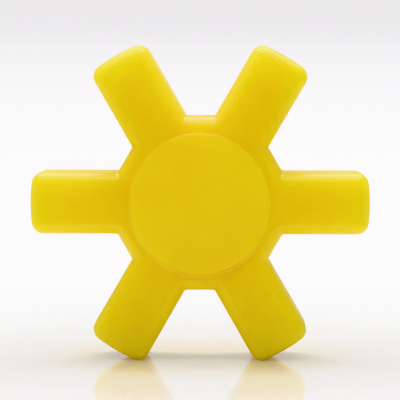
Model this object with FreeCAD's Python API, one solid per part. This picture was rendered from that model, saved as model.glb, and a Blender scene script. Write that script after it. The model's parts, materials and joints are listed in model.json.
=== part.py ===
import FreeCAD, Part
import math
import os

# The elastomer spider of a straight-jaw shaft coupling: one moulding, with no insert and no fastener.
# Millimetres. The origin is the centre of the part. Y is the axis of the two shafts, Z is up, and X runs
# along two opposite legs, so that the part stands on the tips of its two lower legs.

OUTER_RADIUS = 32.25  # shaft axis to the tip of a leg, just inside the coupling's own outer surface
LEG_COUNT = 6  # three jaws from each of the two hubs go into the six gaps
LEG_WIDTH = 11.7  # between the two flat jaw seats of a leg
HUB_APOTHEM = 16.5  # shaft axis to the short flat that joins two legs
STAR_THICKNESS = 16.0  # along the axis, over the legs and the hub
TIP_CORNER_RADIUS = 2.3  # corner of a leg's tip, seen along the axis
ROOT_RADIUS = 0.6  # inner corner where a leg meets a hub flat
RIM_RADIUS = 2.1  # round that runs all along the front edge and the back edge
BOSS_RADIUS = 13.4  # raised disc that keeps the legs clear of the hubs' end faces
BOSS_HEIGHT = 1.0  # how far each disc stands above the star
BOSS_EDGE_RADIUS = 0.3

AXIS = FreeCAD.Vector(0, 1, 0)
CENTRE = FreeCAD.Vector(0, 0, 0)
FRONT_Y = -STAR_THICKNESS / 2
LEG_PITCH = 360.0 / LEG_COUNT
CLOSE = 0.01  # how near counts as the same when edges are picked out


def leg_pair(index):
    """Two opposite legs: one bar across the part, turned about the shaft axis."""
    corner = FreeCAD.Vector(-OUTER_RADIUS, FRONT_Y, -LEG_WIDTH / 2)
    bar = Part.makeBox(2 * OUTER_RADIUS, STAR_THICKNESS, LEG_WIDTH, corner)
    bar.rotate(CENTRE, AXIS, index * LEG_PITCH)
    return bar


def hub():
    """Prism whose flats face the gaps between the legs and whose corners point along the legs."""
    corner_radius = HUB_APOTHEM / math.cos(math.pi / LEG_COUNT)
    corners = []
    for index in range(LEG_COUNT + 1):
        turn = math.radians(index * LEG_PITCH)
        corners.append(FreeCAD.Vector(corner_radius * math.cos(turn), FRONT_Y, corner_radius * math.sin(turn)))
    return Part.Face(Part.makePolygon(corners)).extrude(AXIS * STAR_THICKNESS)


def axial_edges(solid, innermost, outermost):
    """Straight edges parallel to the shaft axis, at a distance from it between the two given."""
    found = []
    for edge in solid.Edges:
        start = edge.Vertexes[0].Point
        end = edge.Vertexes[-1].Point
        along = abs(end.y - start.y)
        if abs(along - STAR_THICKNESS) > CLOSE:
            continue
        if innermost < math.hypot(start.x, start.z) < outermost:
            found.append(edge)
    return found


def rim_edges(solid):
    """All edges that lie in the front face or in the back face."""
    return [edge for edge in solid.Edges if edge.BoundBox.YLength < CLOSE]


def star():
    """Hub and six legs, with every outer corner and both rims rounded."""
    body = hub()
    for index in range(LEG_COUNT // 2):
        body = body.fuse(leg_pair(index))
    tube = Part.makeCylinder(OUTER_RADIUS, STAR_THICKNESS, FreeCAD.Vector(0, FRONT_Y, 0), AXIS)
    body = body.common(tube).removeSplitter()
    middle = (OUTER_RADIUS + HUB_APOTHEM) / 2
    body = body.makeFillet(TIP_CORNER_RADIUS, axial_edges(body, middle, OUTER_RADIUS + CLOSE))
    body = body.makeFillet(ROOT_RADIUS, axial_edges(body, HUB_APOTHEM, middle))
    return body.makeFillet(RIM_RADIUS, rim_edges(body))


def boss_disc():
    """One disc that runs through the star and stands out of it on both sides."""
    length = STAR_THICKNESS + 2 * BOSS_HEIGHT
    disc = Part.makeCylinder(BOSS_RADIUS, length, FreeCAD.Vector(0, -length / 2, 0), AXIS)
    return disc.makeFillet(BOSS_EDGE_RADIUS, rim_edges(disc))


def spider():
    return star().fuse(boss_disc()).removeSplitter()


os.makedirs("parts", exist_ok=True)
shape = spider()
if len(shape.Solids) != 1 or not shape.isValid():
    raise RuntimeError("the spider is not one valid solid")
shape.exportStep("parts/spider.step")
box = shape.optimalBoundingBox(True, False)
print("spider: volume %.0f mm3, size %.2f x %.2f x %.2f mm" % (
    shape.Volume, box.XLength, box.YLength, box.ZLength))
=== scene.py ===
"""The elastomer spider of a jaw coupling, standing on two of its legs on a white table."""

import cmath
import json
import math

import bmesh
import bpy
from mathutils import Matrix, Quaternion, Vector, noise


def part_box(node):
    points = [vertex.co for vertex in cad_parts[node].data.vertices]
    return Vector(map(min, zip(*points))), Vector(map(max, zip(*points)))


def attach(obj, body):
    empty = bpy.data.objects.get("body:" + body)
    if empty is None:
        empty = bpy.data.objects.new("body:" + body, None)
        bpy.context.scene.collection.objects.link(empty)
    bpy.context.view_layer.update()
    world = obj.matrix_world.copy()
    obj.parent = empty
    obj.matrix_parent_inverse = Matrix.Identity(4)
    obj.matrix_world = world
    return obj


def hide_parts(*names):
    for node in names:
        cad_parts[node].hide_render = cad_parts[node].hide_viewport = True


MM = 0.001
NODE = "spider"

# The moulding, in millimetres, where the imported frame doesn't say it.
LEG_COUNT = 6
HUB_APOTHEM = 16.5  # shaft axis to the short flat that joins two legs
TIP_CORNER_RADIUS = 2.3  # corner of a leg's tip, seen along the axis
ROOT_RADIUS = 0.6  # inner corner where a leg meets a hub flat
RIM_RADIUS = 2.1  # round that runs along the front edge and the back edge
RIM_FLATNESS = 0.3  # 0 is a true round and 1 a bevel
BOSS_RADIUS = 13.4
BOSS_HEIGHT = 1.0
BOSS_EDGE_RADIUS = 0.3
BOSS_FOOT_WIDTH = 0.8  # soft slope where a boss rises from the star
BOSS_FOOT_HEIGHT = 0.25
BOSS_CROWN = 0.35  # how far the middle of a boss stands above its edge
PARTING_HEIGHT = 0.05  # ridge left by the mould's parting line, half-way through the thickness
PARTING_HALF_WIDTH = 0.2
SINK_DEPTH = 0.06  # how far the faces of the legs have shrunk in
SINK_LENGTH = 8.0  # stretch of face, from rim to boss, that has to be crossed for the full depth
WAVE_HEIGHT = 0.012  # unevenness of the moulded skin
WAVE_LENGTH = 5.0

# Steps of the mesh. Half a leg's outline runs from the middle of its tip to the middle of the hub flat.
# The two gaps are in millimetres.
TIP_STEPS = 7
CORNER_STEPS = 10
FLANK_STEPS = 14
ROOT_STEPS = 6
FLAT_STEPS = 5
WALL_STEPS = 6
RIM_STEPS = 10
FACE_STEPS = 20
FOOT_STEPS = 5
EDGE_STEPS = 5
BOSS_RING_GAP = 1.0
BOSS_COLUMN_GAP = 0.15  # where columns come closer together than this, every other one ends

# The finish. Colours are linear, the noise scales are in waves per metre, and a pair is a range.
STAR_YELLOWS = ((0.88, 0.64, 0.003, 1), (0.91, 0.68, 0.006, 1))
BOSS_YELLOWS = ((0.96, 0.69, 0.002, 1), (1.0, 0.75, 0.004, 1))  # the matt bosses look a little paler
STAR_ROUGHNESS = (0.27, 0.35)
BOSS_ROUGHNESS = (0.44, 0.54)
NOISE_SPAN = (0.3, 0.7)  # the part of a noise's range that is used
BOSS_CLOUD_SPAN = (0.35, 0.65)
STAR_CLOUD_SCALE = 90.0
BOSS_CLOUD_SCALE = 60.0
SMEAR_SCALE = 260.0
GRAIN_SCALE = 3200.0
GRAIN_HEIGHT = 0.02 * MM
GRAIN_STRENGTHS = (0.08, 0.8)  # on the star and on the bosses
RIPPLE_SCALE = 700.0
RIPPLE_HEIGHT = 0.03 * MM
RIPPLE_STRENGTH = 0.25
MASK_WIDTH = 0.1 * MM  # over which the finish changes at the edge of a boss
IOR = 1.5
DEPTH_WEIGHT = 0.75  # how much of the light goes into the polyurethane before it comes back
DEPTH_RADIUS = (0.8, 0.8, 0.1)  # how far red, green and blue spread in it, in parts of the scale
DEPTH_SCALE = 20.0 * MM

# The camera: nearly square to the front, a little from above and from the right. Angles are in degrees,
# the lens is in millimetres, and the rest is in metres.
CAMERA_DISTANCE = 0.45
CAMERA_AZIMUTH = 0.9
CAMERA_ELEVATION = 3.5
CAMERA_LENS = 210.8
CAMERA_ROLL = 0.14
AIM_RIGHT = -0.1 * MM  # how far from the object's centre the camera points
AIM_UP = 0.3 * MM

# The table, in metres: a glossy round disc, whose outer part fades into the backdrop. It glows a little, as
# painted light, which softens the dark spots under the feet and whitens the part behind the object.
TABLE_RADIUS = 0.15
TABLE_SOLID_RADIUS = 0.05
TABLE_SEGMENTS = 96
# Painted shade and light: greyer near the object, where its shade falls, and painted whiter behind it,
# where the backdrop lights the table.
TABLE_SHADED_AND_LIT_WHITES = ((0.87, 0.845, 0.86, 1), (1.0, 1.0, 1.0, 1))  # near the object and behind it
TABLE_SHADED_AND_LIT_WHITES_DEPTHS = (0.015, 0.05)  # where, behind the object, the one goes over into the other
# Painted light: a warm tint near the object, for the light that comes through the polyurethane.
TABLE_PAINTED_WARM_LIGHT = (0.83, 0.765, 0.6, 1)  # tint of the light that has come through the polyurethane
TABLE_PAINTED_WARM_LIGHT_RADII = (0.012, 0.036)  # where, around the object, the tint goes over into the whites
TABLE_ROUGHNESS = 0.04
TABLE_METALLIC = 0.1
TABLE_DEPTH_WEIGHT = 0.6
TABLE_DEPTH_RADIUS = (1.0, 0.8, 0.5)
TABLE_DEPTH_SCALE = 5.0 * MM
# Painted light: the table's own warm glow, stronger behind the object than near it.
TABLE_PAINTED_GLOW_COLOUR = (1.0, 0.95, 0.78, 1)
TABLE_PAINTED_GLOWS = (0.05, 0.1)  # near the object and behind it

# The room's light. It is dark high up, because the softboxes fill that part. The dark camera side gives
# a little light, but no reflections, and the rest is a little dimmer in reflections than it is as a light.
# Directions are the parts of a unit vector.
ROOM_WHITE = (1, 1, 1, 1)
ROOM_FRONT = 0.45
ROOM_REST = 0.84
ROOM_REST_MIRRORED = 0.73
ROOM_FRONT_DEPTHS = (-0.8, -0.3)  # where the camera side goes over into the rest
ROOM_TOP_HEIGHTS = (0.25, 0.75)  # where the room goes dark
BACKDROP_WHITE = (1, 0.98, 1, 1)
BACKDROP_LOW = 2.8  # brightness behind and below the object
BACKDROP_HIGH = 0.9  # brightness above it
BACKDROP_HEIGHTS = (-0.06, 0.02)  # where the one goes over into the other

# Name, place and size in metres, and power in watts. All of them point at the object.
SOFTBOXES = (
    ("overhead", (0, 0, 0.4), (0.5, 0.5), 2.12),
    ("rear_strip", (0, 0.16, 0.39), (0.6, 0.2), 1.50),
    ("upper_left", (-0.35, -0.15, 0.35), (0.3, 0.3), 0.29),
)


def mount_place(name):
    """Place of one of the record's mounts, in millimetres."""
    for mount in frame["record"]["mounts"]:
        if mount["name"] == name:
            return Vector(mount["pos_m"]) / MM
    raise ValueError("no mount is named " + name)


def arc(centre, radius, start, end, steps):
    """Points of an arc in the XZ plane, as complex numbers, without its last one."""
    angles = [start + (end - start) * step / steps for step in range(steps)]
    return [centre + cmath.rect(radius, angle) for angle in angles]


def run(start, end, steps):
    """Points of a straight run, closer together towards its ends, without its last one."""
    shares = [0.5 - 0.5 * math.cos(math.pi * step / steps) for step in range(steps)]
    return [start + (end - start) * share for share in shares]


def half_leg(inset):
    """Half of one leg's outline, moved in by inset.

    It runs from the middle of the leg's tip to the middle of the hub flat.
    """
    half_width = leg_width / 2
    corner_reach = outer_radius - TIP_CORNER_RADIUS
    corner_turn = math.asin((half_width - TIP_CORNER_RADIUS) / corner_reach)
    corner = cmath.rect(corner_reach, corner_turn)
    flat_turn = math.pi / LEG_COUNT
    flat_normal = cmath.rect(1, flat_turn)
    root_z = half_width + ROOT_RADIUS
    root_x = (HUB_APOTHEM + ROOT_RADIUS - root_z * flat_normal.imag) / flat_normal.real
    root = complex(root_x, root_z)
    flank_z = half_width - inset
    flat_middle = (HUB_APOTHEM - inset) * flat_normal
    points = arc(0, outer_radius - inset, 0, corner_turn, TIP_STEPS)
    points += arc(corner, TIP_CORNER_RADIUS - inset, corner_turn, math.pi / 2, CORNER_STEPS)
    points += run(complex(corner.real, flank_z), complex(root_x, flank_z), FLANK_STEPS)
    points += arc(root, ROOT_RADIUS + inset, -math.pi / 2, flat_turn - math.pi, ROOT_STEPS)
    points += run(root - (ROOT_RADIUS + inset) * flat_normal, flat_middle, FLAT_STEPS)
    return points + [flat_middle]


def star_outline(inset):
    """The closed outline of the star, moved in by inset."""
    half = half_leg(inset)
    sector = [point.conjugate() for point in half[:0:-1]] + half[:-1]
    turns = [cmath.rect(1, math.tau * index / LEG_COUNT) for index in range(LEG_COUNT)]
    return [point * turn for turn in turns for point in sector]


def on_circle(points, radius):
    """The points moved along their own rays from the axis to a circle."""
    return [point / abs(point) * radius for point in points]


def wall_rings(wall_end):
    """From the parting line to where the rim starts to curve: pairs of an outline and its depth."""
    rings = [(-PARTING_HEIGHT, 0), (-PARTING_HEIGHT / 2, PARTING_HALF_WIDTH / 2), (0, PARTING_HALF_WIDTH)]
    for step in range(1, WALL_STEPS + 1):
        rings.append((0, PARTING_HALF_WIDTH + (wall_end - PARTING_HALF_WIDTH) * step / WALL_STEPS))
    return [(star_outline(inset), depth) for inset, depth in rings]


def rim_rings(wall_end):
    """Round the rim, from the end of the wall to the face, on a curve between a true round and a bevel."""
    rings = []
    for step in range(1, RIM_STEPS + 1):
        share = step / RIM_STEPS
        angle = math.pi / 2 * share
        inset = RIM_RADIUS * ((1 - RIM_FLATNESS) * (1 - math.cos(angle)) + RIM_FLATNESS * share)
        rise = RIM_RADIUS * ((1 - RIM_FLATNESS) * math.sin(angle) + RIM_FLATNESS * share)
        rings.append((star_outline(inset), wall_end + rise))
    return rings


def face_rings(face_depth):
    """From the rim's inner edge to the foot of the boss, with a depth for each point.

    The depths differ, because the faces of the legs have sunk in.
    """
    outer = star_outline(RIM_RADIUS)
    inner = on_circle(outer, BOSS_RADIUS + BOSS_FOOT_WIDTH)
    rings = []
    for step in range(1, FACE_STEPS + 1):
        share = step / FACE_STEPS
        points = []
        depths = []
        for start, end in zip(outer, inner):
            fullness = min(1, abs(start - end) / SINK_LENGTH)
            points.append(start + (end - start) * share)
            depths.append(face_depth - SINK_DEPTH * fullness * math.sin(math.pi * share) ** 2)
        rings.append((points, depths))
    return rings


def boss_side_rings(face_depth):
    """Up the side of the boss: the soft slope at its foot, then its rounded edge."""
    circle = star_outline(RIM_RADIUS)
    sides = []
    for step in range(1, FOOT_STEPS + 1):
        angle = math.pi / 2 * step / FOOT_STEPS
        sides.append((BOSS_RADIUS + BOSS_FOOT_WIDTH * (1 - math.sin(angle)),
                      face_depth + BOSS_FOOT_HEIGHT * (1 - math.cos(angle))))
    for step in range(EDGE_STEPS + 1):
        angle = math.pi / 2 * step / EDGE_STEPS
        sides.append((BOSS_RADIUS - BOSS_EDGE_RADIUS * (1 - math.cos(angle)),
                      boss_depth - BOSS_CROWN - BOSS_EDGE_RADIUS * (1 - math.sin(angle))))
    return [(on_circle(circle, radius), depth) for radius, depth in sides]


def boss_face_rings():
    """Across the boss to its centre, with fewer and fewer columns that even out on the way."""
    columns = star_outline(RIM_RADIUS)
    flat_radius = BOSS_RADIUS - BOSS_EDGE_RADIUS
    even_turns = [math.tau * (index / len(columns) - 1 / (2 * LEG_COUNT)) for index in range(len(columns))]
    start_turns = [even + cmath.phase(point * cmath.rect(1, -even))
                   for point, even in zip(columns, even_turns)]
    keep = 1
    rings = []
    radius = flat_radius - BOSS_RING_GAP / 2
    while radius > BOSS_RING_GAP / 2:
        count = len(columns) // keep
        if count % 2 == 0 and math.tau * radius / count < BOSS_COLUMN_GAP:
            keep *= 2
        evenness = 1 - radius / flat_radius
        turns = [start + (even - start) * evenness for start, even in zip(start_turns, even_turns)]
        depth = boss_depth - BOSS_CROWN * (radius / flat_radius) ** 2
        rings.append(([cmath.rect(radius, turn) for turn in turns[::keep]], depth))
        radius -= BOSS_RING_GAP
    return rings


def bridge(mesh, wide, narrow):
    """Faces between two rings, where the second has as many points as the first or half as many."""
    count = len(wide)
    step = count // len(narrow)
    for index in range(0, count, step):
        near = narrow[index // step]
        far = narrow[(index // step + 1) % len(narrow)]
        if step == 1:
            mesh.faces.new((wide[index], wide[(index + 1) % count], far, near))
        else:
            middle = wide[index + 1]
            mesh.faces.new((wide[index], middle, near))
            mesh.faces.new((middle, far, near))
            mesh.faces.new((middle, wide[(index + 2) % count], far))


def add_ring(mesh, points, depths, side):
    """Vertices of one ring, on the front (side -1) or the back (side 1)."""
    if not isinstance(depths, list):
        depths = [depths] * len(points)
    return [mesh.verts.new(Vector((point.real, side * depth, point.imag)) * MM)
            for point, depth in zip(points, depths)]


def spider_mesh():
    """The whole moulding as one closed surface."""
    face_depth = boss_depth - BOSS_HEIGHT
    wall_end = face_depth - RIM_RADIUS
    rings = wall_rings(wall_end) + rim_rings(wall_end) + face_rings(face_depth)
    rings += boss_side_rings(face_depth) + boss_face_rings()
    mesh = bmesh.new()
    parting = add_ring(mesh, *rings[0], 1)
    for side in (-1, 1):
        last = parting
        for points, depths in rings[1:]:
            ring = add_ring(mesh, points, depths, side)
            bridge(mesh, last, ring)
            last = ring
        centre = mesh.verts.new(Vector((0, side * boss_depth, 0)) * MM)
        for index, vertex in enumerate(last):
            mesh.faces.new((vertex, last[(index + 1) % len(last)], centre))
    bmesh.ops.recalc_face_normals(mesh, faces=mesh.faces)
    mesh.normal_update()
    for vertex in mesh.verts:
        vertex.co += vertex.normal * noise.noise(vertex.co / (WAVE_LENGTH * MM)) * WAVE_HEIGHT * MM
    for face in mesh.faces:
        face.smooth = True
    data = bpy.data.meshes.new("coupling_spider")
    mesh.to_mesh(data)
    mesh.free()
    return data


def add_node(tree, kind, inputs, **settings):
    """A shader node with its settings, and its inputs set to values or linked to other nodes' outputs."""
    made = tree.nodes.new(kind)
    for name, value in settings.items():
        setattr(made, name, value)
    for name, value in inputs.items():
        if isinstance(value, bpy.types.NodeSocket):
            tree.links.new(value, made.inputs[name])
        else:
            made.inputs[name].default_value = value
    return made


def noise_of(tree, place, scale, detail=2.0, roughness=0.5):
    """A noise texture's value; scale is in waves per metre."""
    made = add_node(tree, "ShaderNodeTexNoise",
                    {"Vector": place, "Scale": scale, "Detail": detail, "Roughness": roughness})
    return made.outputs["Fac"]


def ranged(tree, value, ends, results, interpolation="LINEAR"):
    """The value mapped from the range between two ends to two results, and held inside it."""
    made = add_node(tree, "ShaderNodeMapRange",
                    {"Value": value, "From Min": ends[0], "From Max": ends[1],
                     "To Min": results[0], "To Max": results[1]},
                    interpolation_type=interpolation)
    return made.outputs["Result"]


def mixed_colour(tree, factor, colours):
    """Between two colours. A Mix node keeps its colours in sockets 6 and 7, and gives one in socket 2."""
    made = add_node(tree, "ShaderNodeMix", {"Factor": factor, 6: colours[0], 7: colours[1]},
                    data_type="RGBA")
    return made.outputs[2]


def mixed_number(tree, factor, numbers):
    """Between two numbers. A Mix node keeps its numbers in sockets 2 and 3, and gives one in socket 0."""
    made = add_node(tree, "ShaderNodeMix", {"Factor": factor, 2: numbers[0], 3: numbers[1]},
                    data_type="FLOAT")
    return made.outputs[0]


def length_of(tree, vector):
    """The vector's length."""
    return add_node(tree, "ShaderNodeVectorMath", {0: vector}, operation="LENGTH").outputs["Value"]


def axis_distance(tree, place):
    """Distance from the shaft axis."""
    split = add_node(tree, "ShaderNodeSeparateXYZ", {"Vector": place})
    flat = add_node(tree, "ShaderNodeCombineXYZ", {"X": split.outputs["X"], "Z": split.outputs["Z"]})
    return length_of(tree, flat.outputs["Vector"])


def new_material(name):
    """A node material, with its tree, its shader and its object coordinates."""
    material = bpy.data.materials.new(name)
    material.use_nodes = True
    tree = material.node_tree
    place = add_node(tree, "ShaderNodeTexCoord", {}).outputs["Object"]
    return material, tree, tree.nodes["Principled BSDF"], place


def polyurethane():
    """Translucent yellow polyurethane, smooth on the star and finely matt on the flats of the bosses."""
    material, tree, shader, place = new_material("polyurethane_yellow")
    mask_start = (BOSS_RADIUS - BOSS_EDGE_RADIUS / 2) * MM
    mask = ranged(tree, axis_distance(tree, place), (mask_start, mask_start - MASK_WIDTH), (0, 1))

    star_clouds = noise_of(tree, place, STAR_CLOUD_SCALE, detail=3.0)
    boss_clouds = noise_of(tree, place, BOSS_CLOUD_SCALE, detail=4.0, roughness=0.6)
    star_yellow = mixed_colour(tree, ranged(tree, star_clouds, NOISE_SPAN, (0, 1)), STAR_YELLOWS)
    boss_yellow = mixed_colour(tree, ranged(tree, boss_clouds, BOSS_CLOUD_SPAN, (0, 1)), BOSS_YELLOWS)
    tree.links.new(mixed_colour(tree, mask, (star_yellow, boss_yellow)), shader.inputs["Base Color"])

    smears = noise_of(tree, place, SMEAR_SCALE, detail=4.0, roughness=0.6)
    star_gloss = ranged(tree, smears, NOISE_SPAN, STAR_ROUGHNESS)
    boss_gloss = ranged(tree, smears, NOISE_SPAN, BOSS_ROUGHNESS)
    tree.links.new(mixed_number(tree, mask, (star_gloss, boss_gloss)), shader.inputs["Roughness"])

    grain = add_node(tree, "ShaderNodeBump", {
        "Height": noise_of(tree, place, GRAIN_SCALE), "Distance": GRAIN_HEIGHT,
        "Strength": ranged(tree, mask, (0, 1), GRAIN_STRENGTHS)})
    ripple = add_node(tree, "ShaderNodeBump", {
        "Height": noise_of(tree, place, RIPPLE_SCALE, detail=3.0), "Distance": RIPPLE_HEIGHT,
        "Strength": RIPPLE_STRENGTH, "Normal": grain.outputs["Normal"]})
    tree.links.new(ripple.outputs["Normal"], shader.inputs["Normal"])

    shader.inputs["IOR"].default_value = IOR
    shader.inputs["Subsurface Weight"].default_value = DEPTH_WEIGHT
    shader.inputs["Subsurface Radius"].default_value = DEPTH_RADIUS
    shader.inputs["Subsurface Scale"].default_value = DEPTH_SCALE
    return material


def make_spider():
    """The one piece. It stands for the CAD node, because it has the finer shapes of a real moulding."""
    spider = bpy.data.objects.new("coupling_spider", spider_mesh())
    bpy.context.scene.collection.objects.link(spider)
    spider.data.materials.append(polyurethane())
    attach(spider, "root")
    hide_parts(NODE)


def white_table():
    """Glossy white and clear where the table ends; painted shade greys it near the object, painted warm
    light tints it there, and it is painted whiter behind.
    """
    material, tree, shader, place = new_material("white_table")
    distance = length_of(tree, place)
    presence = ranged(tree, distance, (TABLE_SOLID_RADIUS, TABLE_RADIUS), (1, 0))
    tree.links.new(presence, shader.inputs["Alpha"])
    depth = add_node(tree, "ShaderNodeSeparateXYZ", {"Vector": place}).outputs["Y"]
    # Painted shade near the object, going over into painted light behind it.
    behind = ranged(tree, depth, TABLE_SHADED_AND_LIT_WHITES_DEPTHS, (0, 1))
    white = mixed_colour(tree, behind, TABLE_SHADED_AND_LIT_WHITES)
    # Painted warm light near the object.
    white_share = ranged(tree, distance, TABLE_PAINTED_WARM_LIGHT_RADII, (0, 1), "SMOOTHSTEP")
    tree.links.new(mixed_colour(tree, white_share, (TABLE_PAINTED_WARM_LIGHT, white)), shader.inputs["Base Color"])
    shader.inputs["Roughness"].default_value = TABLE_ROUGHNESS
    shader.inputs["Metallic"].default_value = TABLE_METALLIC
    shader.inputs["Subsurface Weight"].default_value = TABLE_DEPTH_WEIGHT
    shader.inputs["Subsurface Radius"].default_value = TABLE_DEPTH_RADIUS
    shader.inputs["Subsurface Scale"].default_value = TABLE_DEPTH_SCALE
    # Painted light: the table glows, more behind the object than near it.
    shader.inputs["Emission Color"].default_value = TABLE_PAINTED_GLOW_COLOUR
    tree.links.new(mixed_number(tree, behind, TABLE_PAINTED_GLOWS), shader.inputs["Emission Strength"])
    return material


def make_table(height):
    """The disc that the object stands on, with its top at the given height."""
    mesh = bmesh.new()
    bmesh.ops.create_circle(mesh, cap_ends=True, segments=TABLE_SEGMENTS, radius=TABLE_RADIUS)
    data = bpy.data.meshes.new("floor")
    mesh.to_mesh(data)
    mesh.free()
    table = bpy.data.objects.new("floor", data)
    table.location.z = height
    bpy.context.scene.collection.objects.link(table)
    table.data.materials.append(white_table())


def make_world():
    """What the camera sees is a pale backdrop; what lights the object is a room that is dark high up."""
    world = bpy.data.worlds.new("studio")
    bpy.context.scene.world = world
    world.use_nodes = True
    tree = world.node_tree
    direction = add_node(tree, "ShaderNodeTexCoord", {}).outputs["Generated"]
    split = add_node(tree, "ShaderNodeSeparateXYZ", {"Vector": direction})
    depth = split.outputs["Y"]
    height = split.outputs["Z"]
    path = add_node(tree, "ShaderNodeLightPath", {})

    front = ranged(tree, path.outputs["Is Glossy Ray"], (0, 1), (ROOM_FRONT, 0))
    rest = ranged(tree, path.outputs["Is Glossy Ray"], (0, 1), (ROOM_REST, ROOM_REST_MIRRORED))
    rest_share = ranged(tree, depth, ROOM_FRONT_DEPTHS, (0, 1), "SMOOTHSTEP")
    level = mixed_number(tree, rest_share, (front, rest))
    low_share = ranged(tree, height, ROOM_TOP_HEIGHTS, (1, 0), "SMOOTHSTEP")
    strength = add_node(tree, "ShaderNodeMath", {0: level, 1: low_share}, operation="MULTIPLY")
    room = add_node(tree, "ShaderNodeBackground", {"Color": ROOM_WHITE, "Strength": strength.outputs[0]})

    brightness = ranged(tree, height, BACKDROP_HEIGHTS, (BACKDROP_LOW, BACKDROP_HIGH), "SMOOTHSTEP")
    backdrop = add_node(tree, "ShaderNodeBackground", {"Color": BACKDROP_WHITE, "Strength": brightness})
    mixed = add_node(tree, "ShaderNodeMixShader",
                     {0: path.outputs["Is Camera Ray"], 1: room.outputs[0], 2: backdrop.outputs[0]})
    tree.links.new(mixed.outputs[0], tree.nodes["World Output"].inputs["Surface"])


def add_softbox(name, place, size, power):
    """An area light aimed at the object, not seen by the camera."""
    light = bpy.data.lights.new(name, "AREA")
    light.shape = "RECTANGLE"
    light.size, light.size_y = size
    light.energy = power
    box = bpy.data.objects.new(name, light)
    box.location = place
    box.rotation_euler = (-Vector(place)).to_track_quat("-Z", "Y").to_euler()
    box.visible_camera = False
    bpy.context.scene.collection.objects.link(box)


def make_camera():
    """The camera, aimed near the object's centre."""
    azimuth = math.radians(CAMERA_AZIMUTH)
    elevation = math.radians(CAMERA_ELEVATION)
    back = Vector((math.sin(azimuth) * math.cos(elevation),
                   -math.cos(azimuth) * math.cos(elevation),
                   math.sin(elevation)))
    roll = Quaternion((0, 0, 1), math.radians(CAMERA_ROLL))
    data = bpy.data.cameras.new("camera")
    data.lens = CAMERA_LENS
    camera = bpy.data.objects.new("camera", data)
    camera.rotation_euler = ((-back).to_track_quat("-Z", "Y") @ roll).to_euler()
    camera.location = back * CAMERA_DISTANCE + Vector((AIM_RIGHT, 0, AIM_UP))
    bpy.context.scene.collection.objects.link(camera)
    bpy.context.scene.camera = camera


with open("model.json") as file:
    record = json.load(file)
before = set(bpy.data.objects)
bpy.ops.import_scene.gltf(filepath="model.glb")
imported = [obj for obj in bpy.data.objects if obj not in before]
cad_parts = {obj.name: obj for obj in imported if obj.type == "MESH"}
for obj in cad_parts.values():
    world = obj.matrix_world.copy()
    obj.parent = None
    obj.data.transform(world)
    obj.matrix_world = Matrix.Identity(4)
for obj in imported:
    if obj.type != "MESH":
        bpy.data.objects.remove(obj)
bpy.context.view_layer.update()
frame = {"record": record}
corner_low, corner_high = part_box(NODE)

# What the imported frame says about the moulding, in millimetres.
outer_radius = corner_high.x / MM
boss_depth = corner_high.y / MM
leg_width = 2 * mount_place("leg_1_ccw_seat").z

make_camera()
make_spider()
make_table(corner_low.z)
make_world()
for softbox in SOFTBOXES:
    add_softbox(*softbox)
bpy.context.scene.view_settings.view_transform = "Khronos PBR Neutral"
